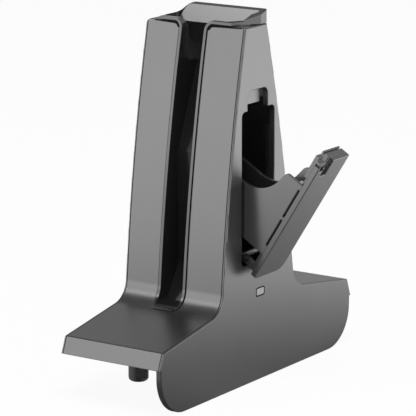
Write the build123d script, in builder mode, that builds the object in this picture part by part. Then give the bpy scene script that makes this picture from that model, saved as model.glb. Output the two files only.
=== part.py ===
from build123d import *
from math import cos, radians, sin
import os

os.makedirs("parts", exist_ok=True)

# Headset charging cradle with a tilt-out spare-battery door, in millimetres.
# The origin is on the dock plug's axis at the seat plane. +X is the door side, +Y the rear, +Z up.
# In side views the first coordinate is the distance behind the foot's middle.

# Overall form
width = 36.4
foot_half = 54.15
plug_inset = 14.65
lip_lean = 2.0
lip_front = 5.1
lip_rear = 5.8
tower_foot = 10.6
tower_front_foot = -21.0
tower_rear_foot = 19.9
tower_waist = 56.0
tower_front_waist = -15.9
tower_rear_waist = 12.55
crown_rise = 10.0
tower_front_crown = -6.2
tower_rear_crown = 0.6
tower_top = 96.0
sweep_radius = 7.0
lip_radius = 0.8
skirt_depth = 15.3
skirt_corner = 12.5
skirt_inset = 0.55
below = 6.0

# Walls, seams and fits
wall = 1.8
seam = 0.25
reveal = 0.6
side_wall = 1.8
edge_radius = 0.3
fit = 0.15
running = 0.05
snug = 0.02

# Boom slot and headset cup
slot_width = 10.5
slot_offset = -0.6
slot_bottom = 9.75
slot_corner = 2.2
slot_seam = 0.3
slot_rim = 0.9
rim_proud = 0.3
channel_back = -11.2
channel_wall = 1.0
channel_bend_low = 21.0
channel_bend_high = 57.0
channel_merge_depth = 14.0
channel_top_back = -0.9
channel_radius = 6.0
collar_front_rise = 1.1
collar_rear_rise = 4.4
collar_rear_face = 3.7
collar_end = 13.25
collar_end_front = -8.4
collar_turn = -0.2
collar_corner = 1.2
collar_corner_left = 4.0
shoulder_lift = 1.0
shoulder_end = -14.0
shoulder_crest = -7.6
cup_left = -12.4
cup_right = 16.3
cup_turn = 1.0
cup_turn_front = 11.4
cup_turn_corner = 3.0
cup_depth = 12.0
cup_ledge_depth = 3.0
cup_ramp_depth = 8.0
cup_ramp_inner = -5.6
cup_front = -5.6
cup_rear_mouth = 2.4
cup_rear_neck = -0.2
cup_wall = 1.2
cup_corner = 0.9
cup_corner_left = 4.5
panel_corner = 2.0
flare_lift = 0.05
panel_roll = 0.5
crown_corner = 2.0
flange_roll = 0.4
bay_roll = 0.3

# Battery bay in the right side
bay_front = -10.45
bay_rear = 7.6
bay_low = 22.4
bay_high = 70.4
bay_corner = 1.6
notch_front = -7.4
notch_rear = 3.8
notch_high = 76.5
notch_corner = 2.2
window_half = 2.2
window_low = 11.65
window_high = 14.1
window_corner = 0.5

# Tilt-out door, in its own coordinates: out from the hinge axis and along the door
hinge_x = 12.2
hinge_z = 14.8
open_angle = 31.9
pin_radius = 0.9
eye_radius = 2.3
lug_width = 2.1
door_near = -9.55
door_far = 5.95
door_foot = 8.9
door_top = 54.6
door_skin = 1.8
door_step = 49.0
door_step_side = -3.25
finger_side = -6.3
finger_top = 52.4
door_foot_corner = 3.0
block_depth = 2.75
block_foot = 48.5
groove_width = 0.55
groove_depth = 0.7
groove_inset = 0.6
spine_depth = 1.0
spine_top = 46.5
rail_depth = 1.2
rail_top = 17.2
rail_foot = 10.4
rail_inset = 0.9
arm_width = 1.6
arm_near = -8.0
arm_far = 3.0
arm_reach = 11.3
arm_band = 2.0
leg_inner = -3.4
leg_outer = -1.3
neck_start_angle = 77.0
neck_sweep_angle = 25.0
latch_neck = 1.4
latch_head = 3.0
latch_head_height = 0.8
latch_face = 1.3
latch_tongue_width = 2.4
latch_tongue_foot = 47.0
latch_tongue_thick = 1.4
latch_play = 0.4
latch_middle = -7.9
latch_head_top = 54.0
latch_neck_length = 2.0

# Spare-battery bin behind the door
bin_width = 11.95
bin_wall = 1.2
bin_foot = 17.5
bin_top = 44.3
bin_back = -2.5
bin_heel = -5.2
bin_heel_height = 32.2
bin_tip = -24.5
bin_tip_top = 32.2
bin_tip_foot = 20.5
bin_sweep = 11.0
bin_tip_corner = 1.5
bin_peak_round = 1.2
bin_web_top = 37.0
vent_width = 0.75
vent_low = 20.8
vent_high = 42.6
vent_rib = 1.1
vent_middle = 31.5
battery_thick = 4.0
battery_length = 20.5
battery_gap = 0.3
battery_round = 0.6
battery_contact_width = 1.6
battery_lift = 1.0

# Works
board_thick = 1.6
board_front = 5.2
board_left = -15.2
board_right = 1.0
board_low = 20.0
board_high = 62.0
post_radius = 2.4
chip_size = 5.0
chip_height = 1.2
post_spots = [(-12.2, 25.0), (-2.0, 56.0)]
board_screw_length = 4.5
board_screw_head = 0.9
frame_thick = 1.4
frame_foot = 10.6
frame_low = 20.0
frame_high = 64.0
frame_front = -13.2
frame_rear = 9.6
strike_front = -8.0
strike_rear = 2.15
strike_low = 72.0
strike_high = 79.0
strike_thick = 1.2
strike_inset = 0.2
strike_ear = 1.2
leaf_spots = [37.2, 41.7]
leaf_height = 1.2
leaf_left = -10.6
leaf_right = -5.6
leaf_reach = 2.3
leaf_foot = 0.3
pad_spots = [22.0, 26.5]
pad_height = 2.0
pad_near_tip = 1.0
pad_length = 3.5
pad_thick = 0.2
led_height = 1.8
led_half = 1.2
led_depth = 2.0
pipe_length = 3.6
pipe_gap = 0.12
plug_radius = 3.05
plug_length = 9.0
plug_tip_radius = 1.2
plug_shank = 2.4
plug_bore = 1.6
plug_bore_depth = 6.5
plug_pin_radius = 0.3
plug_pin_circle = 0.85
plug_pin_count = 3
plug_pin_root = 1.5
plug_pin_inset = 1.0
floor_thick = 1.6
retainer_radius = 4.6
retainer_height = 1.2
boss_radius = 2.6
boss_side = 12.5
boss_inset = 24.15
screw_radius = 1.1
screw_head_radius = 2.1
screw_head_height = 1.0
screw_length = 6.0
screw_slot = 0.5
plunger_radius = 0.7
plunger_stand = 1.2
barrel_radius = 1.2
plunger_left = 7.6
plunger_pitch = 3.4
plunger_reach = -3.0
plunger_length = 5.2
block_height = 6.0
block_wall = 0.8

# Values that follow from the sizes above
half = width / 2
middle = foot_half - plug_inset
tower_crown = tower_top + crown_rise
flare_top = tower_top + flare_lift
collar_front = tower_top + collar_front_rise
collar_rear = tower_top + collar_rear_rise
shoulder = tower_top + shoulder_lift
cup_floor = tower_top - cup_depth
cup_ledge = tower_top - cup_ledge_depth
cup_ramp_foot = tower_top - cup_ramp_depth
channel_merge = tower_top - channel_merge_depth
boss_reach = foot_half - boss_inset
skirt_half = foot_half - skirt_inset
flare_slope = (half - collar_end) / (collar_turn - collar_end_front)
collar_left = cup_left - slot_rim
side_inner = half - side_wall
cover_half = half - reveal - seam
door_outer = half - hinge_x
door_skin_inner = door_outer - door_skin
front_bosses = [(-boss_side, middle - boss_reach), (boss_side, middle - boss_reach)]
rear_bosses = [(-boss_side, middle + boss_reach), (boss_side, middle + boss_reach)]
plunger_row = middle + plunger_reach
plunger_spots = [(plunger_left, plunger_row), (plunger_left + plunger_pitch, plunger_row)]
board_back = board_front + board_thick
bin_far = door_near + bin_width
pocket_back = bin_back + bin_wall
spine_inner = door_skin_inner - spine_depth
battery_back = pocket_back + battery_gap
battery_near = door_near + bin_wall + battery_gap
battery_far = bin_far - bin_wall - battery_gap
battery_foot = bin_foot + bin_wall + battery_lift
latch_rest = bay_high - hinge_z - latch_play

side = Plane(origin=(0, middle, 0), x_dir=(0, 1, 0), z_dir=(1, 0, 0))
front = Plane(origin=(0, middle, 0), x_dir=(1, 0, 0), z_dir=(0, -1, 0))
out = Vector(cos(radians(open_angle)), 0, -sin(radians(open_angle)))
along = Vector(sin(radians(open_angle)), 0, cos(radians(open_angle)))
hinge = Vector(hinge_x, middle, hinge_z)
outward = Axis((hinge_x, middle, hinge_z), (out.X, out.Y, out.Z))


def side_at(x):
    """Side-view plane at the distance x from the middle plane, facing +X."""
    return Plane(origin=(x, middle, 0), x_dir=(0, 1, 0), z_dir=(1, 0, 0))


def door_section(behind):
    """Plane across the hinge axis: first coordinate out, second along the door, facing the front."""
    return Plane(origin=hinge + Vector(0, behind, 0), x_dir=out, z_dir=(0, -1, 0))


def door_face(depth):
    """Plane along the door: first coordinate to the rear, second along the door, facing out."""
    return Plane(origin=hinge + out * depth, x_dir=(0, 1, 0), z_dir=out)


# Side outline of the whole shell, run on above the top and below the seat so that its offsets
# stay open there
with BuildSketch(side) as outline:
    with BuildLine():
        lip_run = lip_lean / lip_front
        Line((-foot_half - lip_run * below, -below), (-foot_half + lip_lean, lip_front))
        Line((-foot_half + lip_lean, lip_front), (tower_front_foot, tower_foot))
        ThreePointArc(
            (tower_front_foot, tower_foot),
            (tower_front_waist, tower_waist),
            (tower_front_crown, tower_crown),
        )
        Line((tower_front_crown, tower_crown), (tower_rear_crown, tower_crown))
        ThreePointArc(
            (tower_rear_crown, tower_crown), (tower_rear_waist, tower_waist), (tower_rear_foot, tower_foot)
        )
        Line((tower_rear_foot, tower_foot), (foot_half - lip_lean, lip_rear))
        Line((foot_half - lip_lean, lip_rear), (foot_half + lip_run * below, -below))
        Line((foot_half + lip_run * below, -below), (-foot_half - lip_run * below, -below))
    make_face()
    fillet(outline.vertices().group_by(Axis.Y)[-2], sweep_radius)
    fillet(outline.vertices().filter_by(lambda v: lip_front - 0.1 < v.Y < lip_rear + 0.1), lip_radius)

with BuildSketch(side) as inside:
    add(outline.sketch_local)
    offset(amount=-wall, mode=Mode.REPLACE)


def slot_shape(inset):
    """Front view of the boom slot, flared at the top and drawn in by the given amount."""
    with BuildSketch(front) as shape:
        with Locations((slot_offset, slot_bottom + inset)):
            Rectangle(slot_width - 2 * inset, flare_top - slot_bottom, align=(Align.CENTER, Align.MIN))
        with Locations((cup_left + cup_wall, flare_top + inset)):
            Rectangle(cup_right - cup_left - 2 * cup_wall, crown_rise, align=(Align.MIN, Align.MIN))
        fillet(shape.vertices().group_by(Axis.Y)[0], slot_corner - inset)
        fillet(shape.vertices().group_by(Axis.Y)[-2].sort_by(Axis.X)[1:3], panel_corner + inset)
    return shape.sketch


def collar_at(behind):
    """How far to the right the collar's slanted wall stands at a distance behind the foot's middle."""
    return collar_end + flare_slope * (behind - collar_end_front)


def crown_shape():
    """Front view of the tower up to its top, rounded over on the left."""
    with BuildSketch(front.offset(-foot_half)) as shape:
        Rectangle(width, flare_top, align=(Align.CENTER, Align.MIN))
        fillet(shape.vertices().group_by(Axis.Y)[-1].sort_by(Axis.X)[0], crown_corner)
    return shape.sketch


def channel_space(shift):
    """Side view of all that lies in front of the boom channel's back, moved rearward by shift."""
    with BuildSketch(side) as space:
        with BuildLine():
            back = FilletPolyline(
                (channel_back + shift - channel_bend_low / 2, slot_bottom / 2),
                (channel_back + shift, channel_bend_low),
                (channel_back + shift, channel_bend_high),
                (channel_top_back + shift, channel_merge),
                (channel_top_back + shift, tower_crown),
                radius=channel_radius,
            )
            Polyline(back @ 1, (-foot_half, tower_crown), (-foot_half, slot_bottom / 2), back @ 0)
        make_face()
    return space.sketch_local


# Front cover: lip, shelf, sweep and tower front in one strip, open at the slot, with two screw bosses
with BuildPart() as front_cover:
    with BuildSketch(Plane.XY.offset(floor_thick)):
        with Locations(front_bosses):
            Circle(boss_radius)
    extrude(amount=tower_foot)
    with BuildSketch(side_at(-cover_half)):
        add(outline.sketch_local)
    extrude(amount=2 * cover_half, mode=Mode.INTERSECT)
    with BuildSketch(side_at(-cover_half)):
        add(outline.sketch_local)
        add(inside.sketch_local, mode=Mode.SUBTRACT)
        with Locations((-foot_half, 0)):
            Rectangle(foot_half - wall, tower_top, align=(Align.MIN, Align.MIN), mode=Mode.INTERSECT)
    extrude(amount=2 * cover_half)
    extrude(slot_shape(0), amount=foot_half, mode=Mode.SUBTRACT)
    extrude(crown_shape(), amount=2 * foot_half, mode=Mode.INTERSECT)
    fillet(front_cover.edges().group_by(Axis.Z)[-1].filter_by(Axis.X).sort_by(Axis.Y)[:2], panel_roll)
    with BuildSketch(Plane.XY.offset(floor_thick)):
        with Locations(front_bosses):
            Circle(screw_radius + snug)
    extrude(amount=screw_length - floor_thick + fit, mode=Mode.SUBTRACT)
front_cover.part.label = "front_cover"
export_step(front_cover.part, "parts/front_cover.step")

# Rear cover: rear face, shelf and lip in one strip, with two screw bosses and two posts for the board
with BuildPart() as rear_cover:
    with BuildSketch(Plane.XY.offset(floor_thick)):
        with Locations(rear_bosses):
            Circle(boss_radius)
    extrude(amount=tower_foot)
    with BuildSketch(front.offset(-board_back)):
        with Locations(post_spots):
            Circle(post_radius)
    extrude(amount=-foot_half)
    with BuildSketch(side_at(-cover_half)):
        add(outline.sketch_local)
    extrude(amount=2 * cover_half, mode=Mode.INTERSECT)
    with BuildSketch(side_at(-cover_half)):
        add(outline.sketch_local)
        add(inside.sketch_local, mode=Mode.SUBTRACT)
        with Locations((foot_half, 0)):
            Rectangle(foot_half, tower_top, align=(Align.MAX, Align.MIN), mode=Mode.INTERSECT)
    extrude(amount=2 * cover_half)
    extrude(crown_shape(), amount=2 * foot_half, mode=Mode.INTERSECT)
    with BuildSketch(Plane.XY.offset(floor_thick)):
        with Locations(rear_bosses):
            Circle(screw_radius + snug)
    extrude(amount=screw_length - floor_thick + fit, mode=Mode.SUBTRACT)
    with BuildSketch(front.offset(-board_back)):
        with Locations(post_spots):
            Circle(screw_radius + snug)
    extrude(amount=board_thick - board_screw_length - fit, mode=Mode.SUBTRACT)
rear_cover.part.label = "rear_cover"
export_step(rear_cover.part, "parts/rear_cover.step")

# Roof of the right side cover, between the collar's slanted wall and the side
with BuildPart() as right_roof:
    with BuildSketch(side_at(0)):
        add(outline.sketch_local)
        offset(amount=-wall - seam, mode=Mode.REPLACE)
        with Locations((0, tower_top)):
            Rectangle(2 * foot_half, side_wall, align=(Align.CENTER, Align.MAX), mode=Mode.INTERSECT)
    extrude(amount=half - reveal)
    with BuildSketch(Plane.XY.offset(tower_top - 2 * side_wall)):
        with BuildLine():
            Polyline(
                (collar_at(collar_turn) + slot_seam, middle + collar_turn),
                (collar_at(-foot_half) + slot_seam, middle - foot_half),
                (width, middle - foot_half),
                (width, middle + collar_turn),
                close=True,
            )
        make_face()
    extrude(amount=3 * side_wall, mode=Mode.INTERSECT)

# Right side cover: a thin flange shows as the edge line, a thicker plate fits inside the other covers.
# It carries the bay opening with its finger notch, the indicator window and the skirt.
with BuildPart() as side_cover_right:
    with BuildSketch(side_at(half - reveal)):
        add(outline.sketch_local)
        Rectangle(2 * foot_half, tower_top, align=(Align.CENTER, Align.MIN), mode=Mode.INTERSECT)
    extrude(amount=reveal)
    with BuildSketch(side_at(side_inner)):
        add(outline.sketch_local)
        offset(amount=-wall - seam, mode=Mode.REPLACE)
        Rectangle(2 * foot_half, tower_top, align=(Align.CENTER, Align.MIN), mode=Mode.INTERSECT)
    extrude(amount=side_wall - reveal)
    add(right_roof.part)
    with BuildSketch(side_at(side_inner)) as skirt:
        Rectangle(2 * skirt_half, skirt_depth, align=(Align.CENTER, Align.MAX))
        fillet(skirt.vertices().group_by(Axis.Y)[0], skirt_corner)
    extrude(amount=side_wall)
    with BuildSketch(side_at(side_inner)):
        with Locations(((bay_front + bay_rear) / 2, (bay_low + bay_high) / 2)):
            RectangleRounded(bay_rear - bay_front, bay_high - bay_low, bay_corner)
        with Locations(((notch_front + notch_rear) / 2, (bay_high + notch_high) / 2 - notch_corner)):
            notch_tall = notch_high - bay_high + 2 * notch_corner
            RectangleRounded(notch_rear - notch_front, notch_tall, notch_corner)
        with Locations((0, (window_low + window_high) / 2)):
            RectangleRounded(2 * window_half, window_high - window_low, window_corner)
    extrude(amount=side_wall, mode=Mode.SUBTRACT)
    rim = side_cover_right.faces().sort_by(Axis.X)[-1].outer_wire().edges()
    fillet(rim.filter_by(lambda edge: abs(edge.center().Z) > 2 * flange_roll), flange_roll)
    openings = side_cover_right.faces().sort_by(Axis.X)[-1].inner_wires()
    fillet(openings.sort_by(SortBy.LENGTH)[-1].edges(), bay_roll)
side_cover_right.part.label = "side_cover_right"
export_step(side_cover_right.part, "parts/side_cover_right.step")

# Left side cover: the same flange and plate, closed and without a skirt, with the roof beside the collar
with BuildPart() as side_cover_left:
    with BuildSketch(side_at(-half)):
        add(outline.sketch_local)
        Rectangle(2 * foot_half, tower_top, align=(Align.CENTER, Align.MIN), mode=Mode.INTERSECT)
    extrude(amount=reveal)
    with BuildSketch(side_at(reveal - half)):
        add(outline.sketch_local)
        offset(amount=-wall - seam, mode=Mode.REPLACE)
        Rectangle(2 * foot_half, tower_top, align=(Align.CENTER, Align.MIN), mode=Mode.INTERSECT)
    extrude(amount=side_wall - reveal)
    with BuildSketch(side_at(reveal - half)):
        add(outline.sketch_local)
        offset(amount=-wall - seam, mode=Mode.REPLACE)
        with Locations((0, tower_top)):
            Rectangle(2 * foot_half, side_wall, align=(Align.CENTER, Align.MAX), mode=Mode.INTERSECT)
    extrude(amount=half - reveal + cup_left - cup_wall - fit)
    left_rim = side_cover_left.faces().sort_by(Axis.X)[0].outer_wire().edges()
    long_rim = left_rim.filter_by(lambda edge: edge.length > 2 * flange_roll)
    fillet(long_rim.filter_by(lambda edge: edge.center().Z > 0), flange_roll)
    extrude(crown_shape(), amount=2 * foot_half, mode=Mode.INTERSECT)
side_cover_left.part.label = "side_cover_left"
export_step(side_cover_left.part, "parts/side_cover_left.step")

# Hollow of the headset cup: a front view with the ramp on the left, cut by a side view with a drawn-in neck
with BuildPart() as cup_hollow:
    with BuildSketch(front.offset(-foot_half)):
        with BuildLine():
            Polyline(
                (cup_left, tower_crown),
                (cup_left, cup_ledge),
                (cup_ramp_inner, cup_ramp_foot),
                (cup_ramp_inner + slot_rim, cup_floor),
                (side_inner - fit - 2 * cup_wall, cup_floor),
                (side_inner - fit - cup_wall, tower_top - cup_wall),
                (cup_right, collar_front),
                (cup_right, tower_crown),
                close=True,
            )
        make_face()
    extrude(amount=2 * foot_half)
    with BuildSketch(side_at(-half)):
        with BuildLine():
            Polyline(
                (cup_front - cup_wall, tower_crown),
                (cup_front - cup_wall, collar_front),
                (cup_front, tower_top - cup_wall),
                (cup_front, cup_floor),
                (cup_rear_neck - cup_wall / 2, cup_floor),
                (cup_rear_neck, tower_top - cup_wall),
                (cup_rear_mouth, collar_rear),
                (cup_rear_mouth, tower_crown),
                close=True,
            )
        make_face()
    extrude(amount=width, mode=Mode.INTERSECT)
    with BuildSketch(Plane.XY.offset(cup_floor)) as mouth:
        with BuildLine():
            Polyline(
                (cup_left, middle + cup_rear_mouth),
                (cup_right, middle + cup_rear_mouth),
                (cup_right, middle + cup_turn),
                (cup_turn_front, middle + cup_front - cup_wall),
                (cup_left, middle + cup_front - cup_wall),
                close=True,
            )
        make_face()
        fillet(mouth.vertices().group_by(Axis.Y)[-1].sort_by(Axis.X)[0], cup_corner_left)
        fillet(mouth.vertices().group_by(Axis.Y)[-1].sort_by(Axis.X)[-1], cup_corner)
        fillet(mouth.vertices().group_by(Axis.Y)[0].sort_by(Axis.X)[-1], cup_turn_corner)
    extrude(amount=cup_depth + crown_rise, mode=Mode.INTERSECT)

# Hollow of the boom channel: the slot's front view run back to the channel's curved back
with BuildPart() as channel_hollow:
    with BuildSketch(side_at(-half)):
        add(channel_space(0))
    extrude(amount=width)
    extrude(slot_shape(slot_seam + slot_rim), amount=foot_half, mode=Mode.INTERSECT)

# Cup liner: boom channel, headset cup and collar in one glossy moulding
with BuildPart() as cup_liner:
    with BuildSketch(side_at(-half)):
        add(outline.sketch_local)
        offset(amount=rim_proud, mode=Mode.REPLACE)
        add(channel_space(channel_wall), mode=Mode.INTERSECT)
        Rectangle(2 * foot_half, tower_top + seam, align=(Align.CENTER, Align.MIN), mode=Mode.INTERSECT)
    extrude(amount=width)
    extrude(slot_shape(slot_seam), amount=foot_half, mode=Mode.INTERSECT)
    with BuildSketch(Plane.XY.offset(cup_floor - cup_wall)):
        with Locations((cup_left - cup_wall, middle + cup_front - cup_wall + fit)):
            Rectangle(
                side_inner - fit - cup_left + cup_wall,
                cup_rear_neck + 2 * cup_wall - cup_front - 2 * fit,
                align=(Align.MIN, Align.MIN),
            )
    extrude(amount=tower_top + seam - cup_floor + cup_wall)
    with BuildSketch(side_at(collar_left)):
        add(outline.sketch_local)
        offset(amount=rim_proud, mode=Mode.REPLACE)
        with Locations((0, tower_top + seam)):
            Rectangle(foot_half, tower_crown, align=(Align.MAX, Align.MIN), mode=Mode.INTERSECT)
        with BuildLine():
            Polyline(
                (0, tower_top + seam),
                (0, tower_crown),
                (collar_rear_face, tower_crown),
                (collar_rear_face - fit, tower_top + seam),
                close=True,
            )
        make_face()
        with BuildLine():
            Polyline(
                (-foot_half, collar_front),
                (cup_front - cup_wall, collar_front),
                (collar_rear_face, collar_rear),
                (foot_half, collar_rear),
                (foot_half, width + tower_crown),
                (-foot_half, width + tower_crown),
                close=True,
            )
        make_face(mode=Mode.SUBTRACT)
    extrude(amount=half - collar_left)
    with BuildSketch(front.offset(-foot_half)):
        with BuildLine():
            crest = (shoulder_crest, collar_rear)
            rise = Spline((shoulder_end, shoulder), crest, tangents=[(1, 0), (1, 0)])
            Polyline(
                rise @ 1,
                (shoulder_crest, tower_crown),
                (-width, tower_crown),
                (-width, shoulder),
                rise @ 0,
            )
        make_face()
    extrude(amount=2 * foot_half, mode=Mode.SUBTRACT)
    with BuildSketch(Plane.XY) as plan:
        with BuildLine():
            Polyline(
                (cup_left - cup_wall, middle + collar_rear_face),
                (half, middle + collar_rear_face),
                (half, middle + collar_turn),
                (collar_at(-foot_half / 2), middle - foot_half / 2),
                (cup_left - cup_wall, middle - foot_half / 2),
                close=True,
            )
        make_face()
        fillet(plan.vertices().group_by(Axis.Y)[-1].sort_by(Axis.X)[0], collar_corner_left)
        fillet(plan.vertices().group_by(Axis.Y)[-1].sort_by(Axis.X)[-1], collar_corner)
    extrude(amount=tower_crown, mode=Mode.INTERSECT)
    add(cup_hollow.part, mode=Mode.SUBTRACT)
    add(channel_hollow.part, mode=Mode.SUBTRACT)
    with BuildSketch(Plane.XY.offset(cup_floor - cup_wall)):
        with Locations(plunger_spots):
            Circle(barrel_radius + snug)
    extrude(amount=cup_wall, mode=Mode.SUBTRACT)
cup_liner.part.label = "cup_liner"
export_step(cup_liner.part, "parts/cup_liner.step")

# Floor of the foot: a plate inside the lips, drilled for the plug and the screws
with BuildPart() as base_plate:
    with BuildSketch(side_at(-side_inner + fit)):
        add(outline.sketch_local)
        offset(amount=-wall - fit, mode=Mode.REPLACE)
        Rectangle(2 * foot_half, floor_thick, align=(Align.CENTER, Align.MIN), mode=Mode.INTERSECT)
    extrude(amount=2 * (side_inner - fit))
    with BuildSketch(Plane.XY):
        Circle(plug_shank + snug)
        with Locations(front_bosses + rear_bosses):
            Circle(screw_radius + fit)
    extrude(amount=floor_thick, mode=Mode.SUBTRACT)
    with BuildSketch(Plane.XY):
        with Locations(front_bosses + rear_bosses):
            Circle(screw_head_radius + fit)
    extrude(amount=screw_head_height, mode=Mode.SUBTRACT)
base_plate.part.label = "base_plate"
export_step(base_plate.part, "parts/base_plate.step")

# Four floor screws with flat heads, sunk in the floor
with BuildPart() as base_screws:
    with BuildSketch(Plane.XY):
        with Locations(front_bosses + rear_bosses):
            Circle(screw_head_radius)
    extrude(amount=screw_head_height)
    with BuildSketch(Plane.XY):
        with Locations(front_bosses + rear_bosses):
            Circle(screw_radius)
    extrude(amount=screw_length)
    with BuildSketch(Plane.XY):
        with Locations(front_bosses + rear_bosses):
            Rectangle(2 * screw_radius, screw_slot)
            Rectangle(screw_slot, 2 * screw_radius)
    extrude(amount=screw_slot, mode=Mode.SUBTRACT)
base_screws.part.label = "base_screws"
export_step(base_screws.part, "parts/base_screws.step")

# Dock plug: a round shroud below the floor, its shank through the floor
with BuildPart() as dock_plug:
    with BuildSketch(Plane.XY):
        Circle(plug_radius)
    extrude(amount=-plug_length)
    fillet(dock_plug.faces().sort_by(Axis.Z)[0].edges(), plug_tip_radius)
    with BuildSketch(Plane.XY.offset(-plug_length)):
        Circle(plug_bore)
    extrude(amount=plug_bore_depth, mode=Mode.SUBTRACT)
    with BuildSketch(Plane.XY):
        Circle(plug_shank)
    extrude(amount=floor_thick + retainer_height)
    with BuildSketch(Plane.XY.offset(plug_bore_depth - plug_length)):
        with PolarLocations(plug_pin_circle, plug_pin_count):
            Circle(plug_pin_radius + snug)
    extrude(amount=plug_pin_root, mode=Mode.SUBTRACT)
dock_plug.part.label = "dock_plug"
export_step(dock_plug.part, "parts/dock_plug.step")

# Contact pins rooted in the plug's bore
with BuildPart() as plug_pins:
    with BuildSketch(Plane.XY.offset(plug_pin_inset - plug_length)):
        with PolarLocations(plug_pin_circle, plug_pin_count):
            Circle(plug_pin_radius)
    extrude(amount=plug_bore_depth - plug_pin_inset + plug_pin_root)
plug_pins.part.label = "plug_pins"
export_step(plug_pins.part, "parts/plug_pins.step")

# Retainer ring pushed over the plug's shank, above the floor
with BuildPart() as plug_retainer:
    with BuildSketch(Plane.XY.offset(floor_thick)):
        Circle(retainer_radius)
        Circle(plug_shank + snug, mode=Mode.SUBTRACT)
    extrude(amount=retainer_height)
    retainer_rims = plug_retainer.faces().sort_by(Axis.Z)[-1].edges()
    chamfer(retainer_rims.sort_by(SortBy.RADIUS)[-1], retainer_height / 3)
plug_retainer.part.label = "plug_retainer"
export_step(plug_retainer.part, "parts/plug_retainer.step")

# Bay frame behind the opening: a plate open at the top, with two hinge lugs and a ledge for the indicator
with BuildPart() as bay_frame:
    with BuildSketch(side_at(side_inner - frame_thick)):
        add(outline.sketch_local)
        offset(amount=-wall - reveal, mode=Mode.REPLACE)
        with Locations((frame_front, frame_foot)):
            Rectangle(
                frame_rear - frame_front,
                frame_high - frame_foot,
                align=(Align.MIN, Align.MIN),
                mode=Mode.INTERSECT,
            )
        with Locations((bay_front, frame_low)):
            Rectangle(bay_rear - bay_front, frame_high, align=(Align.MIN, Align.MIN), mode=Mode.SUBTRACT)
        with Locations((0, (window_low + window_high) / 2)):
            RectangleRounded(2 * window_half, window_high - window_low, window_corner, mode=Mode.SUBTRACT)
    extrude(amount=frame_thick)
    for lug_end in (arm_near - fit, arm_far + arm_width + fit + lug_width):
        with BuildSketch(front.offset(-lug_end)):
            with Locations((hinge_x, hinge_z)):
                Circle(eye_radius)
                Rectangle(side_inner - hinge_x, 2 * eye_radius, align=(Align.MIN, Align.CENTER))
                Circle(pin_radius + snug, mode=Mode.SUBTRACT)
        extrude(amount=lug_width)
    with BuildSketch(side_at(side_inner - frame_thick)):
        with Locations((0, window_low)):
            Rectangle(2 * led_half + 2 * wall, window_low - frame_foot, align=(Align.CENTER, Align.MAX))
    extrude(amount=-led_depth - pipe_length + side_wall + frame_thick)
bay_frame.part.label = "bay_frame"
export_step(bay_frame.part, "parts/bay_frame.step")

# Two short hinge pins, each through a lug and an eye of the door
with BuildPart() as hinge_pins:
    for pin_end in (arm_near + arm_width, arm_far + arm_width + fit + lug_width):
        with BuildSketch(front.offset(-pin_end)):
            with Locations((hinge_x, hinge_z)):
                Circle(pin_radius)
        extrude(amount=lug_width + fit + arm_width)
hinge_pins.part.label = "hinge_pins"
export_step(hinge_pins.part, "parts/hinge_pins.step")

# Strike plate seen through the finger notch, with a wider back and two ears that seat on the side cover
with BuildPart() as strike_plate:
    with BuildSketch(side_at(side_inner - strike_inset)):
        with Locations((strike_front, strike_low)):
            Rectangle(strike_rear - strike_front, strike_high - strike_low, align=(Align.MIN, Align.MIN))
    extrude(amount=-strike_thick)
    with BuildSketch(side_at(side_inner - strike_inset - strike_thick)):
        with Locations((notch_front - strike_ear, strike_low + strike_ear)):
            Rectangle(
                notch_rear - notch_front + 2 * strike_ear,
                strike_high - strike_low - strike_ear,
                align=(Align.MIN, Align.MIN),
            )
    extrude(amount=-strike_thick)
    with BuildSketch(side_at(side_inner)):
        for ear_front in (notch_front - strike_ear, notch_rear + fit):
            with Locations((ear_front, strike_low + strike_ear)):
                Rectangle(
                    strike_ear - fit, strike_high - strike_low - strike_ear, align=(Align.MIN, Align.MIN)
                )
    extrude(amount=-strike_thick - strike_inset)
strike_plate.part.label = "strike_plate"
export_step(strike_plate.part, "parts/strike_plate.step")

# Light source on the frame's ledge and the light pipe that fills the window
with BuildPart() as indicator_led:
    with BuildSketch(side_at(half - pipe_length)):
        with Locations((0, window_low)):
            Rectangle(2 * led_half, led_height, align=(Align.CENTER, Align.MIN))
    extrude(amount=-led_depth)
    fillet(indicator_led.faces().sort_by(Axis.X)[-1].edges(), led_height / 5)
indicator_led.part.label = "indicator_led"
export_step(indicator_led.part, "parts/indicator_led.step")

with BuildPart() as light_pipe:
    with BuildSketch(side_at(half)):
        with Locations((0, (window_low + window_high) / 2)):
            pipe_wide = 2 * (window_half - pipe_gap)
            pipe_high = window_high - window_low - 2 * pipe_gap
            RectangleRounded(pipe_wide, pipe_high, window_corner - pipe_gap)
    extrude(amount=-pipe_length)
light_pipe.part.label = "light_pipe"
export_step(light_pipe.part, "parts/light_pipe.step")

# Door panel: the outer skin, stepped at the top so that a finger and the latch stand beside the grip block
with BuildPart() as door_panel:
    with BuildSketch(door_face(door_skin_inner)) as skin:
        with Locations((door_near, door_foot)):
            Rectangle(door_far - door_near, door_top - door_foot, align=(Align.MIN, Align.MIN))
        fillet(skin.vertices().group_by(Axis.Y)[0].sort_by(Axis.X)[0], door_foot_corner / 2)
        fillet(skin.vertices().group_by(Axis.Y)[0].sort_by(Axis.X)[-1], door_foot_corner)
        with Locations((door_near, finger_top)):
            Rectangle(
                door_step_side - door_near, door_top, align=(Align.MIN, Align.MIN), mode=Mode.SUBTRACT
            )
        with Locations((finger_side, door_step)):
            Rectangle(
                door_step_side - finger_side, door_top, align=(Align.MIN, Align.MIN), mode=Mode.SUBTRACT
            )
        with Locations((latch_middle, latch_head_top - latch_head_height - latch_neck_length)):
            Rectangle(latch_neck + 2 * fit, door_top, align=(Align.CENTER, Align.MIN), mode=Mode.SUBTRACT)
    extrude(amount=door_skin)
    fillet(door_panel.faces().sort_by(outward)[-1].edges(), edge_radius)
door_panel.part.label = "door_panel"
export_step(door_panel.part, "parts/door_panel.step")

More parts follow.
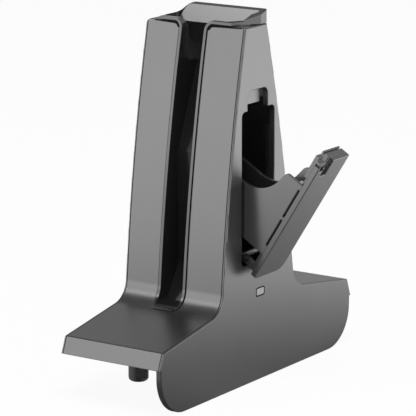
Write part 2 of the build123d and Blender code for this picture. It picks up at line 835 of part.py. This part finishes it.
# Goose-neck line round the hinge axis, from the foot rail to the legs
with BuildLine() as neck:
    CenterArc((0, 0), arm_reach, neck_start_angle, neck_sweep_angle)
neck_line = neck.edge()

# Door frame behind the skin: spine, foot rail, grip block with a nail groove, and two goose-neck hinge arms
with BuildPart() as door_frame:
    with BuildSketch(door_face(spine_inner)):
        with Locations((door_near + bin_wall + fit, rail_foot)):
            spine_wide = bin_width - 2 * bin_wall - 2 * fit
            Rectangle(spine_wide, spine_top - rail_foot, align=(Align.MIN, Align.MIN))
        with Locations((door_step_side, rail_foot)):
            step_wide = bin_far - bin_wall - fit - door_step_side
            Rectangle(step_wide, block_foot + wall - rail_foot, align=(Align.MIN, Align.MIN))
    extrude(amount=spine_depth)
    with BuildSketch(door_face(door_skin_inner - rail_depth)):
        with Locations((door_near + rail_inset, rail_foot)):
            rail_wide = door_far - door_near - 2 * rail_inset
            Rectangle(rail_wide, rail_top - rail_foot, align=(Align.MIN, Align.MIN))
    extrude(amount=rail_depth)
    with BuildSketch(door_section(door_far)):
        with Locations((door_skin_inner - block_depth, block_foot)):
            Rectangle(block_depth, door_top - block_foot, align=(Align.MIN, Align.MIN))
        with Locations((door_skin_inner - block_depth + groove_inset, door_top)):
            Rectangle(groove_width, groove_depth, align=(Align.MIN, Align.MAX), mode=Mode.SUBTRACT)
    extrude(amount=door_far - door_step_side)
    for arm_end in (arm_near + arm_width, arm_far + arm_width):
        with BuildSketch(door_section(arm_end)):
            Circle(eye_radius)
            with Locations((leg_inner, 0)):
                Rectangle(leg_outer - leg_inner, arm_reach, align=(Align.MIN, Align.MIN))
            SlotArc(neck_line, arm_band)
            Circle(pin_radius + running, mode=Mode.SUBTRACT)
        extrude(amount=arm_width)
    with BuildSketch(door_section(arm_far + arm_width)):
        with Locations(((leg_inner + leg_outer) / 2, arm_reach)):
            Circle(arm_band / 2)
    extrude(amount=arm_far + arm_width - arm_near)
door_frame.part.label = "door_frame"
export_step(door_frame.part, "parts/door_frame.step")

# Battery bin: a pocket between two cheeks, each with a swept tail that reaches back to the contacts
with BuildPart() as battery_carrier:
    with BuildSketch(door_section(bin_far)) as cheek:
        with BuildLine():
            Polyline(
                (door_skin_inner, bin_foot),
                (door_skin_inner, bin_top),
                (bin_back, bin_top),
                (bin_heel, bin_heel_height),
                (bin_tip, bin_tip_top),
                (bin_tip, bin_tip_foot),
                (bin_heel, bin_foot),
                close=True,
            )
        make_face()
        heel = cheek.vertices().sort_by_distance((bin_heel, bin_heel_height))[0]
        fillet(heel, bin_sweep)
        fillet(cheek.vertices().group_by(Axis.X)[0], bin_tip_corner)
        fillet(cheek.vertices().sort_by_distance((bin_back, bin_top))[0], bin_peak_round)
    extrude(amount=bin_width)
    with BuildSketch(door_section(bin_far - bin_wall)):
        with Locations((pocket_back, bin_foot + bin_wall)):
            Rectangle(door_skin_inner - pocket_back, bin_top, align=(Align.MIN, Align.MIN))
        with Locations((spine_inner - fit, 0)):
            Rectangle(door_skin_inner - spine_inner + fit, bin_top, align=(Align.MIN, Align.MIN))
        with Locations((door_skin_inner, bin_web_top)):
            Rectangle(door_skin_inner - bin_tip, bin_top, align=(Align.MAX, Align.MIN))
        with Locations((bin_back, 0)):
            Rectangle(bin_back - 2 * bin_tip, bin_top, align=(Align.MAX, Align.MIN))
    extrude(amount=bin_width - 2 * bin_wall, mode=Mode.SUBTRACT)
    with BuildSketch(door_section(door_near + bin_wall)):
        lower_vent = (vent_low, vent_middle - vent_rib / 2)
        upper_vent = (vent_middle + vent_rib / 2, vent_high)
        for vent_foot, vent_head in (lower_vent, upper_vent):
            with Locations((door_skin_inner, vent_foot)):
                Rectangle(vent_width, vent_head - vent_foot, align=(Align.MAX, Align.MIN))
    extrude(amount=bin_wall, mode=Mode.SUBTRACT)
battery_carrier.part.label = "battery_carrier"
export_step(battery_carrier.part, "parts/battery_carrier.step")

# Contact pads on the far cheek's tail
with BuildPart() as carrier_pads:
    with BuildSketch(door_section(bin_far)):
        for pad_foot in pad_spots:
            with Locations((bin_tip + pad_near_tip, pad_foot)):
                Rectangle(pad_length, pad_height, align=(Align.MIN, Align.MIN))
    extrude(amount=-pad_thick)
carrier_pads.part.label = "carrier_pads"
export_step(carrier_pads.part, "parts/carrier_pads.step")

# Contacts at the foot of the bin, under the battery
with BuildPart() as battery_contacts:
    for contact_end in (battery_near + battery_contact_width, battery_far):
        with BuildSketch(door_section(contact_end)):
            with BuildLine():
                Polyline(
                    (battery_back, bin_foot + bin_wall),
                    (battery_back + battery_thick, bin_foot + bin_wall),
                    (battery_back + battery_thick * 0.7, battery_foot - battery_gap),
                    (battery_back + battery_thick * 0.3, battery_foot - battery_gap),
                    close=True,
                )
            make_face()
        extrude(amount=battery_contact_width)
battery_contacts.part.label = "battery_contacts"
export_step(battery_contacts.part, "parts/battery_contacts.step")

# Spare battery pack standing in the bin
with BuildPart() as spare_battery:
    with BuildSketch(door_section(battery_far)):
        with Locations((battery_back, battery_foot)):
            Rectangle(battery_thick, battery_length, align=(Align.MIN, Align.MIN))
    extrude(amount=battery_far - battery_near)
    fillet(spare_battery.edges().filter_by(Axis((0, 0, 0), (along.X, along.Y, along.Z))), battery_round)
spare_battery.part.label = "spare_battery"
export_step(spare_battery.part, "parts/spare_battery.step")

# Door latch: a tongue behind the skin and a T-shaped thumb piece beside the grip block
with BuildPart() as door_latch:
    with BuildSketch(door_face(door_skin_inner - fit)):
        with Locations((latch_middle, latch_tongue_foot)):
            Rectangle(latch_tongue_width, latch_rest - latch_tongue_foot, align=(Align.CENTER, Align.MIN))
    extrude(amount=-latch_tongue_thick)
    with BuildSketch(door_face(door_skin_inner - fit)):
        with Locations((latch_middle, latch_head_top)):
            Rectangle(latch_head, latch_head_height, align=(Align.CENTER, Align.MAX))
            latch_tall = latch_head_height + latch_neck_length - fit
            Rectangle(latch_neck, latch_tall, align=(Align.CENTER, Align.MAX))
    extrude(amount=fit + latch_face)
door_latch.part.label = "door_latch"
export_step(door_latch.part, "parts/door_latch.step")

# Main board on the rear cover's posts, with the larger components on its rear face
with BuildPart() as main_board:
    with BuildSketch(front.offset(-board_front)):
        with Locations((board_left, board_low)):
            Rectangle(board_right - board_left, board_high - board_low, align=(Align.MIN, Align.MIN))
        with Locations(post_spots):
            Circle(screw_radius + fit, mode=Mode.SUBTRACT)
    extrude(amount=-board_thick)
    with BuildSketch(front.offset(-board_back)):
        with Locations((board_left + chip_size, (board_low + board_high) / 2)):
            Rectangle(chip_size, chip_size)
        with Locations((board_right - chip_size, board_low + chip_size)):
            Rectangle(chip_size, 0.6 * chip_size)
    extrude(amount=-chip_height)
main_board.part.label = "main_board"
export_step(main_board.part, "parts/main_board.step")

# Two board screws into the posts
with BuildPart() as board_screws:
    with BuildSketch(front.offset(-board_front)):
        with Locations(post_spots):
            Circle(screw_head_radius)
    extrude(amount=board_screw_head)
    with BuildSketch(front.offset(-board_front)):
        with Locations(post_spots):
            Circle(screw_radius)
    extrude(amount=-board_screw_length)
board_screws.part.label = "board_screws"
export_step(board_screws.part, "parts/board_screws.step")

# Leaf contacts on the board, met by the bin's pads when the door is closed
with BuildPart() as bay_contacts:
    for leaf_low in leaf_spots:
        with BuildSketch(Plane(origin=(0, middle + board_front, leaf_low))):
            with BuildLine():
                Polyline(
                    (leaf_left, 0),
                    (leaf_left, -leaf_foot),
                    (leaf_left + leaf_reach / 2, -leaf_foot),
                    (leaf_left + leaf_reach, -leaf_reach),
                    (leaf_right - leaf_reach, -leaf_reach),
                    (leaf_right - leaf_reach / 2, -leaf_foot),
                    (leaf_right, -leaf_foot),
                    (leaf_right, 0),
                    close=True,
                )
            make_face()
        extrude(amount=leaf_height)
bay_contacts.part.label = "bay_contacts"
export_step(bay_contacts.part, "parts/bay_contacts.step")

# Headset contacts: an insulating block under the cup's floor, two barrels in it and a sprung
# plunger in each
with BuildPart() as contact_block:
    with BuildSketch(Plane.XY.offset(cup_floor - cup_wall)):
        with Locations((plunger_left + plunger_pitch / 2, middle + plunger_reach)):
            block_deep = 2 * barrel_radius + 2 * block_wall
            Rectangle(plunger_pitch + block_deep, block_deep)
        with Locations(plunger_spots):
            Circle(barrel_radius + snug, mode=Mode.SUBTRACT)
    extrude(amount=-block_height)
contact_block.part.label = "contact_block"
export_step(contact_block.part, "parts/contact_block.step")

with BuildPart() as contact_barrels:
    with BuildSketch(Plane.XY.offset(cup_floor)):
        with Locations(plunger_spots):
            Circle(barrel_radius)
    extrude(amount=-block_height - cup_wall)
    with BuildSketch(Plane.XY.offset(cup_floor)):
        with Locations(plunger_spots):
            Circle(plunger_radius + running)
    extrude(amount=-block_height, mode=Mode.SUBTRACT)
contact_barrels.part.label = "contact_barrels"
export_step(contact_barrels.part, "parts/contact_barrels.step")

for plunger_name, plunger_spot in zip(("contact_pin_a", "contact_pin_b"), plunger_spots):
    with BuildPart() as plunger:
        with BuildSketch(Plane.XY.offset(cup_floor + plunger_stand)):
            with Locations(plunger_spot):
                Circle(plunger_radius)
        extrude(amount=-plunger_length)
        fillet(plunger.faces().sort_by(Axis.Z)[-1].edges(), plunger_radius * 0.6)
    plunger.part.label = plunger_name
    export_step(plunger.part, f"parts/{plunger_name}.step")
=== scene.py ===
import math

import bpy
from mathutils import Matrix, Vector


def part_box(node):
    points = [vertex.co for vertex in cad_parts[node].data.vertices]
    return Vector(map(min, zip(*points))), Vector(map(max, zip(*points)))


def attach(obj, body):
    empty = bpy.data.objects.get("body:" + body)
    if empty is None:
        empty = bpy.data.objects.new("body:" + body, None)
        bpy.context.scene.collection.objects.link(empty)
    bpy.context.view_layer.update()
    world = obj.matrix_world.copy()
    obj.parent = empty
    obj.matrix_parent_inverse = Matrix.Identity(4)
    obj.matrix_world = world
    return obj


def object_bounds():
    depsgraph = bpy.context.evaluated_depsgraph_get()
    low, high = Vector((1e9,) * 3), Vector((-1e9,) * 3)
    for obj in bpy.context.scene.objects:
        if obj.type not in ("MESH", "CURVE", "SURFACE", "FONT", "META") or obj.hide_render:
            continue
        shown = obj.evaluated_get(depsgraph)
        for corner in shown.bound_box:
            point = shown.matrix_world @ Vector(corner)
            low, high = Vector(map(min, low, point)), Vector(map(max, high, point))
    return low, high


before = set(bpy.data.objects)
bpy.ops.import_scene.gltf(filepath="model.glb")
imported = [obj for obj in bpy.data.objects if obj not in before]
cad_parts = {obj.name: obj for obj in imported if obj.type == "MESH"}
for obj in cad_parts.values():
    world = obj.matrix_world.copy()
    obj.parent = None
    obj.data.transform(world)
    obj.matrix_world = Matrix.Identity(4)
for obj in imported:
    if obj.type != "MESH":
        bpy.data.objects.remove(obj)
cad_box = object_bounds()


# The base plate: a flat black moulding that closes the foot from below. Its mould is spark eroded,
# which leaves an even matt grain, and four screws pull it up against bosses inside the covers.
class Value:
    """One socket in a material's nodes; sums and products of values add Math nodes."""

    def __init__(self, tree, socket=None):
        self.tree = tree
        self.socket = socket

    def node(self, kind, settings=None, inputs=None, out=0):
        """Adds one shader node: its settings first, then the values or links of its sockets."""
        made = self.tree.nodes.new("ShaderNode" + kind)
        for name, setting in (settings or {}).items():
            setattr(made, name, setting)
        for name, value in (inputs or {}).items():
            if isinstance(value, Value):
                self.tree.links.new(value.socket, made.inputs[name])
            else:
                made.inputs[name].default_value = value
        return Value(self.tree, made.outputs[out])

    def maths(self, operation, left, right):
        return self.node("Math", {"operation": operation}, {0: left, 1: right})

    def __add__(self, other):
        return self.maths("ADD", self, other)

    def __radd__(self, other):
        return self.maths("ADD", other, self)

    def __sub__(self, other):
        return self.maths("SUBTRACT", self, other)

    def __rsub__(self, other):
        return self.maths("SUBTRACT", other, self)

    def __mul__(self, other):
        return self.maths("MULTIPLY", self, other)

    def __rmul__(self, other):
        return self.maths("MULTIPLY", other, self)

    def blend(self, first, second):
        """A colour between two others, by this value."""
        ends = {"Factor": self, "A": first, "B": second}
        return self.node("Mix", {"data_type": "RGBA"}, ends, out="Result")

    def dot(self, way):
        """How far this direction goes along another one."""
        return self.node("VectorMath", {"operation": "DOT_PRODUCT"}, {0: self, 1: way}, out="Value")

    def feeds(self, socket):
        self.tree.links.new(self.socket, socket)


def new_finish(name):
    """A bare material, its shader, and the place on the piece."""
    finish = bpy.data.materials.new(name)
    finish.use_nodes = True
    shader = finish.node_tree.nodes["Principled BSDF"]
    place = Value(finish.node_tree).node("TexCoord", out="Object")
    return finish, shader, place


def shade(colour, share):
    """A colour made lighter or darker, with its alpha."""
    return tuple(level * share for level in colour) + (1,)


noise_middle = 0.5


def moulded(name, colour, rough, metallic=0.0, grain=3500.0, relief=0.05, edge=0.0002, rubbed=0.05):
    """Moulded plastic: faint cloud in the colour, fine grain, edges rounded and rubbed smoother."""
    cloud_scale, cloud_tint, cloud_rough = 45.0, 0.05, 0.05
    grain_rough, grain_depth = 0.015, 0.00003
    wear_start, wear_full = 0.99, 0.8
    wear_share, wear_tint = 0.5, 0.18
    finish, shader, place = new_finish(name)
    cloud = place.node("TexNoise", {}, {"Vector": place, "Scale": cloud_scale, "Detail": 3.0})
    fine = place.node("TexNoise", {},
                      {"Vector": place, "Scale": grain, "Detail": 2.0, "Roughness": 0.5})
    rounded = place.node("Bevel", {"samples": 6}, {"Radius": edge})
    facing = rounded.dot(place.node("NewGeometry", out="Normal"))
    worn = place.node("MapRange", {"clamp": True},
                      {"Value": facing, "From Min": wear_start, "From Max": wear_full})
    tint = cloud.blend(shade(colour, 1 - cloud_tint), shade(colour, 1 + cloud_tint))
    tint = (worn * wear_share).blend(tint, shade(colour, 1 + wear_tint))
    tint.feeds(shader.inputs["Base Color"])
    mottle = cloud_rough * (cloud - noise_middle) + grain_rough * (fine - noise_middle)
    (rough + mottle - rubbed * worn).feeds(shader.inputs["Roughness"])
    skin = place.node("Bump", {}, {"Height": fine, "Strength": relief, "Distance": grain_depth,
                                   "Normal": rounded})
    skin.feeds(shader.inputs["Normal"])
    shader.inputs["Metallic"].default_value = metallic
    return finish, shader


def dress(finish, *nodes):
    """Puts one finish on CAD nodes."""
    for name in nodes:
        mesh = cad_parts[name].data
        mesh.materials.clear()
        mesh.materials.append(finish)


flat_black, _ = moulded("grained_black", (0.022, 0.022, 0.024), rough=0.42, grain=2600.0,
                        relief=0.2)
dress(flat_black, "base_plate", "plug_retainer")


# The base screws and the other small steel parts: bright zinc plate over drawn steel, which keeps
# the fine lines of the drawing under the plate.
def drawn_metal(name, colour, rough):
    """Plated metal: fine drawn lines along the part, duller in patches."""
    edge = 0.0001
    line_scale, line_stretch, line_rough = 9000.0, 0.05, 0.12
    line_relief, line_depth = 0.08, 0.00002
    patch_scale, patch_tint, patch_rough = 300.0, 0.8, 0.08
    finish, shader, place = new_finish(name)
    stretched = (line_scale, line_scale, line_scale * line_stretch)
    lengthwise = place.node("Mapping", {}, {"Vector": place, "Scale": stretched})
    lines = place.node("TexNoise", {}, {"Vector": lengthwise, "Scale": 1.0, "Detail": 2.0})
    patch = place.node("TexNoise", {}, {"Vector": place, "Scale": patch_scale, "Detail": 3.0})
    tint = patch.blend(shade(colour, patch_tint), shade(colour, 1.0))
    tint.feeds(shader.inputs["Base Color"])
    mottle = line_rough * (lines - noise_middle) + patch_rough * (patch - noise_middle)
    (rough + mottle).feeds(shader.inputs["Roughness"])
    rounded = place.node("Bevel", {"samples": 4}, {"Radius": edge})
    skin = place.node("Bump", {}, {"Height": lines, "Strength": line_relief,
                                   "Distance": line_depth, "Normal": rounded})
    skin.feeds(shader.inputs["Normal"])
    shader.inputs["Metallic"].default_value = 1.0
    return finish


zinc = drawn_metal("zinc_plate", (0.52, 0.52, 0.53), rough=0.32)
dress(zinc, "base_screws", "board_screws", "hinge_pins")

# The dock plug: a polished black barrel that stands through the floor, held by a ring, with three
# gilt contact pins in its bore. It docks the cradle on its base unit and brings in the power.
plug_black, _ = moulded("plug_black", (0.34, 0.34, 0.342), rough=0.14, metallic=0.95, relief=0.01)
dress(plug_black, "dock_plug")

gilt = drawn_metal("gilt_brass", (0.78, 0.57, 0.25), rough=0.24)
dress(gilt, "plug_pins")

# The cup and the boom channel: one polished charcoal moulding that lines the tower. In the channel
# its colour is painted near black and not metallic, as painted shade of the deep channel. The
# headset's ear capsule rests in the cup, on two sprung contacts, and its boom hangs in the channel.
channel_left, channel_right = -0.0047, 0.0035
channel_foot, channel_head = 0.0109, 0.0835
channel_painted_shade = (0.014, 0.014, 0.015, 1)
liner_metallic = 0.95
liner, liner_shader = moulded("polished_liner", (0.25, 0.25, 0.252), rough=0.15,
                              metallic=liner_metallic, relief=0.02)
place = Value(liner.node_tree).node("TexCoord", out="Object")
across = place.node("SeparateXYZ", {}, {"Vector": place}, out="X")
height = place.node("SeparateXYZ", {}, {"Vector": place}, out="Z")
# Painted shade: the channel's mask, inside which the liner's colour is painted near black and not
# metallic.
inside = (place.maths("GREATER_THAN", across, channel_left)
          * place.maths("LESS_THAN", across, channel_right)
          * place.maths("GREATER_THAN", height, channel_foot)
          * place.maths("LESS_THAN", height, channel_head))
skin_colour = Value(liner.node_tree, liner_shader.inputs["Base Color"].links[0].from_socket)
inside.blend(skin_colour, channel_painted_shade).feeds(liner_shader.inputs["Base Color"])
(liner_metallic - liner_metallic * inside).feeds(liner_shader.inputs["Metallic"])
dress(liner, "cup_liner")
dress(flat_black, "contact_block")
dress(gilt, "contact_barrels", "contact_pin_a", "contact_pin_b")

# The bay frame, a polished black moulding with the door's hinge lugs, and the board behind it:
# glass laminate under a green mask, which carries the bay's contacts and the charging circuit.
polished, polished_shader = moulded("polished_black", (0.016, 0.016, 0.017), rough=0.12,
                                    relief=0.01, rubbed=0.03)
polished_shader.inputs["Coat Weight"].default_value = 0.35
polished_shader.inputs["Coat Roughness"].default_value = 0.06
dress(polished, "bay_frame")
dress(gilt, "bay_contacts")

mask_green, mask_shader = moulded("solder_mask", (0.006, 0.024, 0.014), rough=0.3, grain=1200.0,
                                  relief=0.03)
mask_shader.inputs["Coat Weight"].default_value = 0.2
dress(mask_green, "main_board")

# The covers: a sleeve of four mouldings that stand together on the base plate. The plastic is a
# charcoal with metal flake in it, moulded to a satin skin.
charcoal_colour = (0.37, 0.37, 0.372)
charcoal_metallic = 0.95
charcoal_relief = 0.012
cover_satin, _ = moulded("cover_satin", charcoal_colour, rough=0.34, metallic=charcoal_metallic,
                         relief=charcoal_relief, edge=0.0003)
dress(cover_satin, "front_cover", "rear_cover", "side_cover_right", "side_cover_left")

# The rim cords: two thin black cords in the seam between the front cover and the cup's collar, one
# each side of the channel. They are painted reflection, laid where the cover's rounded top edge
# shows the dark ceiling, and shaded as soft rubber. Each turns down into the channel's seam, with
# both ends tapered.
cord_radius = 0.0004
cord_sides = 16
cord_behind, cord_height = 0.03095, 0.0957
outer_taper, inner_taper = 0.3, 0.4
turn_radius = 0.00175
turn_steps = 10
turn_angle = math.radians(80)
face_lean = math.radians(12.3)
turn_behind = cord_behind - turn_radius * math.tan(face_lean)
turn_axis = (0, -math.cos(face_lean), math.sin(face_lean))
crease_angle = math.radians(40)
cords = (("left", -0.0150, -0.0078, turn_angle), ("right", 0.0168, 0.0066, -turn_angle))
# Black rubber, for the window's seal and for the rim cords, which are painted reflection.
rubber, rubber_shader = moulded("seal_rubber_and_painted_reflection", (0.008, 0.008, 0.008), rough=0.6, grain=6000.0,
                                relief=0.2)
rubber_shader.inputs["Specular IOR Level"].default_value = 0.12
for side, outer_end, turn_start, turn in cords:
    bpy.ops.object.select_all(action="DESELECT")
    bpy.ops.mesh.primitive_cylinder_add(
        vertices=cord_sides, radius=cord_radius, depth=abs(outer_end - turn_start),
        location=((outer_end + turn_start) / 2, cord_behind, cord_height),
        rotation=(0, math.pi / 2, 0))
    cord = bpy.context.object
    # Painted reflection: a black cord standing for the dark band on the cover's rounded top edge.
    cord.name = "rim_painted_reflection_" + side
    bpy.ops.object.transform_apply(location=True, rotation=True, scale=True)
    for end, taper in ((outer_end, outer_taper), (turn_start, 1.0)):
        bpy.ops.object.mode_set(mode="EDIT")
        bpy.ops.mesh.select_mode(type="FACE")
        bpy.ops.mesh.select_all(action="DESELECT")
        bpy.ops.object.mode_set(mode="OBJECT")
        for face in cord.data.polygons:
            face.select = abs(face.center.x - end) < cord_radius / 10
        bpy.ops.object.mode_set(mode="EDIT")
        bpy.ops.transform.resize(value=(taper, taper, taper))
    bpy.ops.mesh.spin(steps=turn_steps, angle=turn, axis=turn_axis,
                      center=(turn_start, turn_behind, cord_height - turn_radius))
    bpy.ops.transform.resize(value=(inner_taper, inner_taper, inner_taper))
    bpy.ops.mesh.select_all(action="SELECT")
    bpy.ops.mesh.normals_make_consistent(inside=False)
    bpy.ops.object.mode_set(mode="OBJECT")
    bpy.ops.object.shade_smooth_by_angle(angle=crease_angle)
    cord.data.materials.append(rubber)
    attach(cord, "cradle")

# The strike plate above the bay, which the door's latch hooks under: a small pale moulding, seated
# on the side cover by two ears.
pale_grey, _ = moulded("pale_grey", (0.42, 0.42, 0.422), rough=0.3, metallic=0.6)
dress(pale_grey, "strike_plate")

# The indicator: a lamp on a ledge of the bay frame, behind a small window that stands in the side.
# The window is a frosted moulding, which spreads the lamp's light.
frosted, frosted_shader = moulded("frosted_window", (0.62, 0.62, 0.61), rough=0.22, relief=0.02)
frosted_shader.inputs["Coat Weight"].default_value = 0.3
dress(frosted, "light_pipe", "indicator_led")

# The window's seal: a thin black ring pressed round the window where it comes through the side.
# It is moulded in soft rubber and stands a hair above the cover.
seal_proud = 0.00006
seal_width = 0.00034
seal_lap = 0.00004
seal_corner = 0.0007
seal_solid = 2 * seal_proud
seal_edge = seal_proud / 2
window_low, window_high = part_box("light_pipe")
window_middle = [(low + high) / 2 for low, high in zip(window_low, window_high)]
window_long = window_high[1] - window_low[1]
window_tall = window_high[2] - window_low[2]
bpy.ops.object.select_all(action="DESELECT")
bpy.ops.mesh.primitive_plane_add(size=1.0, rotation=(0, math.pi / 2, 0))
seal = bpy.context.object
seal.name = "window_seal"
seal.location = (window_high[0] + seal_proud, window_middle[1], window_middle[2])
seal.scale = (window_tall + 2 * seal_width, window_long + 2 * seal_width, 1)
bpy.ops.object.transform_apply(location=True, rotation=True, scale=True)
bpy.ops.object.mode_set(mode="EDIT")
bpy.ops.mesh.select_all(action="SELECT")
bpy.ops.mesh.bevel(offset=seal_corner, segments=6, affect="VERTICES")
bpy.ops.mesh.inset(thickness=seal_width + seal_lap)
bpy.ops.mesh.delete(type="FACE")
bpy.ops.object.mode_set(mode="OBJECT")
bpy.ops.object.modifier_add(type="SOLIDIFY")
seal.modifiers[-1].thickness = seal_solid
seal.modifiers[-1].offset = -1.0
bpy.ops.object.modifier_apply(modifier=seal.modifiers[-1].name)
bpy.ops.object.modifier_add(type="BEVEL")
seal.modifiers[-1].width = seal_edge
seal.modifiers[-1].segments = 2
bpy.ops.object.modifier_apply(modifier=seal.modifiers[-1].name)
bpy.ops.object.shade_smooth_by_angle(angle=crease_angle)
seal.data.materials.append(rubber)
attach(seal, "cradle")

# The door: a satin panel on a frame with goose-neck arms, the bin for the spare battery behind it,
# and the latch that slides in the frame's top. All are moulded in the covers' charcoal.
door_satin, _ = moulded("door_satin", charcoal_colour, rough=0.24, metallic=charcoal_metallic,
                        relief=charcoal_relief)
dress(door_satin, "door_panel", "door_frame", "battery_carrier", "door_latch")
dress(gilt, "carrier_pads", "battery_contacts")

# The spare battery: a flat pack in a pale shrunk sleeve. It stands loose in the bin, on the two
# contacts at the bin's foot.
sleeve, _ = moulded("battery_sleeve", (0.42, 0.42, 0.42), rough=0.42, grain=1500.0)
dress(sleeve, "spare_battery")

# The stage: a plain white floor that keeps the object's shadow. In reflections the floor's glow is
# painted
# shadow and light: dark near the part, dark towards the camera and behind, and brighter than white
# far off. The room is pale at the horizon, brightest in a band just above it, dark at the ceiling
# and on the camera's side, and dimmer behind.
floor_size = 8.0
floor_drop = 0.0001
bpy.ops.object.select_all(action="DESELECT")
bpy.ops.mesh.primitive_plane_add(size=floor_size, location=(0, 0, cad_box[0][2] - floor_drop))
floor = bpy.context.object
floor.name = "floor"
white = bpy.data.materials.new("white_floor")
white.use_nodes = True
paint = white.node_tree.nodes["Principled BSDF"]
paint.inputs["Base Color"].default_value = (0.92, 0.92, 0.92, 1)
paint.inputs["Roughness"].default_value = 0.9
paint.inputs["Specular IOR Level"].default_value = 0.0
ground = Value(white.node_tree)


def fade(value, start, end, before, after):
    """A level that runs smoothly from one value to another."""
    ends = {"Value": value, "From Min": start, "From Max": end, "To Min": before, "To Max": after}
    return value.node("MapRange", {"interpolation_type": "SMOOTHSTEP"}, ends)


camera_side = (0.557, -0.83, 0.0)
rear_side = (-0.35, 0.937, 0.0)
spot = ground.node("TexCoord", out="Object")
away = ground.node("VectorMath", {"operation": "LENGTH"}, {0: spot}, out="Value")
bearing = ground.node("VectorMath", {"operation": "NORMALIZE"}, {0: spot})
ahead = bearing.dot(camera_side)
# Painted shadow and light: the floor's glow in reflections, dark near the part and towards the
# camera and behind, brighter than white far off.
outward = fade(away, 0.05, 0.32, 0.17, 1.15)
forward = fade(ahead, -0.3, 0.5, 1.0, 0.57)
under_camera = fade(ahead, 0.6, 0.9, 1.0, 0.06)
rearward = fade(bearing.dot(rear_side), 0.78, 0.95, 1.0, 0.15)
floor_glow_painted_shadow = outward * forward * under_camera * rearward
by_camera = ground.node("LightPath", out="Is Camera Ray")
by_gloss = ground.node("LightPath", out="Is Glossy Ray")
by_glass = ground.node("LightPath", out="Is Transmission Ray")
strength = ground.maths("MAXIMUM", floor_glow_painted_shadow, by_camera)
glow = ground.node("Emission", {}, {"Color": (1, 1, 1, 1), "Strength": strength})
camera_share, mirror_share = 0.94, 0.95
glowing = camera_share * by_camera + mirror_share * by_gloss + mirror_share * by_glass
painted = Value(white.node_tree, paint.outputs[0])
floor_mix = ground.node("MixShader", {}, {0: glowing, 1: painted, 2: glow})
floor_mix.feeds(white.node_tree.nodes["Material Output"].inputs["Surface"])
floor.data.materials.append(white)

room_level = 0.71
room = bpy.data.worlds.new("studio")
bpy.context.scene.world = room
room.use_nodes = True
backdrop = room.node_tree.nodes["Background"]
sky = Value(room.node_tree)
outlook = sky.node("TexCoord", out="Generated")
upward = outlook.dot((0, 0, 1))
ceiling = fade(upward, 0.5, 0.74, 1.0, 0.1)
band_foot = fade(upward, 0.0, 0.06, 1.0, 1.35)
band_head = fade(upward, 0.14, 0.26, 1.0, 0.74)
behind = fade(outlook.dot((0, 1, 0)), -0.2, 0.5, 1.0, 0.5)
round_camera = fade(outlook.dot(camera_side), 0.7, 0.92, 1.0, 0.06)
mirrored_room = room_level * ceiling * band_foot * band_head * behind * round_camera
to_camera = sky.node("LightPath", out="Is Camera Ray")
sky.maths("MAXIMUM", mirrored_room, to_camera).feeds(backdrop.inputs["Strength"])
backdrop.inputs["Color"].default_value = (1, 1, 1, 1)


def softbox(name, place, target, wide, high, watts, mirrored):
    """A rectangular lamp that faces its target, with or without a reflection in the part."""
    bpy.ops.object.light_add(type="AREA", location=place)
    lamp = bpy.context.object
    lamp.name = name
    lamp.data.shape = "RECTANGLE"
    lamp.data.size = wide
    lamp.data.size_y = high
    lamp.data.energy = watts
    lamp.visible_glossy = mirrored
    aim = [t - p for t, p in zip(target, place)]
    tilt = math.atan2(math.hypot(aim[0], aim[1]), -aim[2])
    lamp.rotation_euler = (tilt, 0, math.atan2(-aim[0], aim[1]))


lamp_target = (0, 0.04, 0.04)
softbox("key_front_left", (-0.64, -0.78, 0.86), lamp_target,
        wide=0.9, high=0.22, watts=0.8, mirrored=True)
softbox("fill_overhead", (0.40, -0.50, 1.30), lamp_target,
        wide=0.8, high=0.8, watts=17.0, mirrored=False)

# The camera: a long lens in front of the right side and a little above the rim, at the photo's
# viewing angle.
camera_dip, camera_turn = 12.856, 33.876
sensor_width = 36.0
focal_pixels, image_pixels = 2800, 416
bpy.ops.object.camera_add(location=(0.4710, -0.6639, 0.2301))
camera = bpy.context.object
camera.rotation_euler = (math.radians(90 - camera_dip), 0, math.radians(camera_turn))
camera.data.sensor_width = sensor_width
camera.data.lens = sensor_width * focal_pixels / image_pixels
camera.data.clip_start = 0.01
bpy.context.scene.camera = camera
bpy.context.scene.view_settings.view_transform = "Standard"
